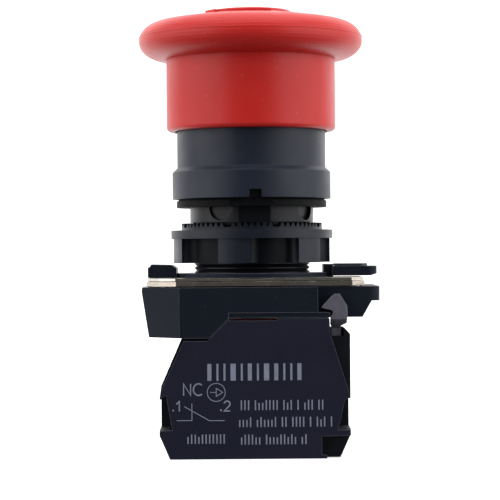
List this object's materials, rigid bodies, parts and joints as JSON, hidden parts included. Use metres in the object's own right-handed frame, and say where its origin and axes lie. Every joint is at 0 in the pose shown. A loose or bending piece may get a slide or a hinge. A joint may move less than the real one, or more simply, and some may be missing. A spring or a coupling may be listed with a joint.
{
  "type": "emergency stop button",
  "caption": "Panel-mounted push-to-latch, twist-to-release mushroom stop head with ring nut, clip-on collar and a normally closed contact block.",
  "frame": {"origin": "centre of the gasket's underside, in the plane of the panel's front face", "axes": "+Z out of the panel towards the operator, +X to the right and +Y away from the side that carries the contact block; -Z is the mounting direction"},
  "size_m": [0.0421, 0.04, 0.0786],
  "materials": {
    "red_cap": "satin moulded red plastic",
    "bezel_plastic": "fine-textured dark blue-grey moulding",
    "black_plastic": "near-black moulded plastic with a soft sheen",
    "housing_plastic": "black-blue moulded plastic, printed in pale grey",
    "nut_plastic": "dark grey moulded plastic",
    "core_plastic": "natural moulded acetal",
    "latch_brass": "drawn brass",
    "seal_rubber": "matt black rubber",
    "zinc_plate": "zinc-plated steel with sheared edges",
    "spring_steel": "drawn spring wire",
    "screw_steel": "zinc-plated steel",
    "hook_steel": "dull stamped steel",
    "contact_brass": "stamped brass strip",
    "silver_tip": "silver contact rivet",
    "red_plunger": "red moulded plastic",
    "pad_plastic": "grey moulded pad"
  },
  "bodies": {
    "base": {"threaded_barrel": "nut_plastic", "bezel": "bezel_plastic", "sleeve_seal": "seal_rubber", "panel_gasket": "seal_rubber", "latch_cage": "core_plastic", "latch_springs": "spring_steel", "lock_plate": "zinc_plate", "spring_plate": "zinc_plate", "plate_rivets": "screw_steel", "collar_body": "black_plastic", "block_housing": "black_plastic", "block_floor": "black_plastic", "block_cover": "housing_plastic", "fixed_contact_left": "contact_brass", "fixed_contact_right": "contact_brass", "fixed_tips": "silver_tip", "hook_pin": "spring_steel"},
    "actuator": {"push_rod": "core_plastic", "rod_clip": "spring_steel", "release_spring": "spring_steel", "return_spring": "spring_steel"},
    "cap": {"mushroom_cap": "red_cap", "cam_core": "core_plastic", "core_screws": "screw_steel"},
    "latch_left": {"latch_block_left": "latch_brass"},
    "latch_right": {"latch_block_right": "latch_brass"},
    "nut": {"ring_nut": "nut_plastic"},
    "lever": {"lock_ring": "black_plastic", "lever_pad": "pad_plastic"},
    "hook": {"hook_clip": "hook_steel"},
    "plunger": {"contact_plunger": "red_plunger", "contact_bridge": "contact_brass", "bridge_tips": "silver_tip", "bridge_spring": "spring_steel", "plunger_spring": "spring_steel"},
    "clamp_left": {"clamp_washer_left": "zinc_plate"},
    "screw_left": {"terminal_screw_left": "screw_steel"},
    "clamp_right": {"clamp_washer_right": "zinc_plate"},
    "screw_right": {"terminal_screw_right": "screw_steel"}
  },
  "joints": [
    {"name": "press", "type": "slide", "parent": "base", "child": "actuator", "axis": [0, 0, -1], "range_m": [0, 0.005], "stiffness_N_per_m": 1500, "springref_m": -0.003, "deforming": ["return_spring"]},
    {"name": "cap_twist", "type": "hinge", "parent": "actuator", "child": "cap", "pos_m": [0, 0, 0.03], "axis": [0, 0, 1], "range_deg": [-45, 0], "stiffness_Nm_per_rad": 0.05, "springref_deg": 17.19},
    {"name": "latch_slide_left", "type": "slide", "parent": "base", "child": "latch_left", "axis": [1, 0, 0], "range_m": [0, 0.0008]},
    {"name": "latch_slide_right", "type": "slide", "parent": "base", "child": "latch_right", "axis": [-1, 0, 0], "range_m": [0, 0.0008]},
    {"name": "nut_turn", "type": "hinge", "parent": "base", "child": "nut", "pos_m": [0, 0, -0.006], "axis": [0, 0, 1], "continuous": true},
    {"name": "lever_turn", "type": "hinge", "parent": "base", "child": "lever", "pos_m": [0, 0, -0.012], "axis": [0, 0, 1], "range_deg": [0, 35]},
    {"name": "hook_release", "type": "hinge", "parent": "base", "child": "hook", "pos_m": [0.0145, -0.0124, -0.024], "axis": [0, 1, 0], "range_deg": [0, 10], "stiffness_Nm_per_rad": 0.02, "springref_deg": -5.73},
    {"name": "contact_slide", "type": "slide", "parent": "base", "child": "plunger", "axis": [0, 0, -1], "range_m": [0, 0.005], "deforming": ["plunger_spring"]},
    {"name": "clamp_slide_left", "type": "slide", "parent": "base", "child": "clamp_left", "axis": [0, 0, 1], "range_m": [0, 0.0022]},
    {"name": "screw_turn_left", "type": "hinge", "parent": "clamp_left", "child": "screw_left", "pos_m": [-0.0106, -0.00985, -0.0385], "axis": [0, 0, 1], "range_deg": [0, 1320.01]},
    {"name": "clamp_slide_right", "type": "slide", "parent": "base", "child": "clamp_right", "axis": [0, 0, 1], "range_m": [0, 0.0022]},
    {"name": "screw_turn_right", "type": "hinge", "parent": "clamp_right", "child": "screw_right", "pos_m": [0.0106, -0.00985, -0.0385], "axis": [0, 0, 1], "range_deg": [0, 1320.01]}
  ],
  "couplings": [
    {"joint": "latch_slide_left", "follows": "press", "ratio": 0.16},
    {"joint": "latch_slide_right", "follows": "press", "ratio": 0.16},
    {"joint": "contact_slide", "follows": "press", "ratio": 1},
    {"joint": "screw_turn_left", "follows": "clamp_slide_left", "rad_per_m": 10472},
    {"joint": "screw_turn_right", "follows": "clamp_slide_right", "rad_per_m": 10472}
  ]
}
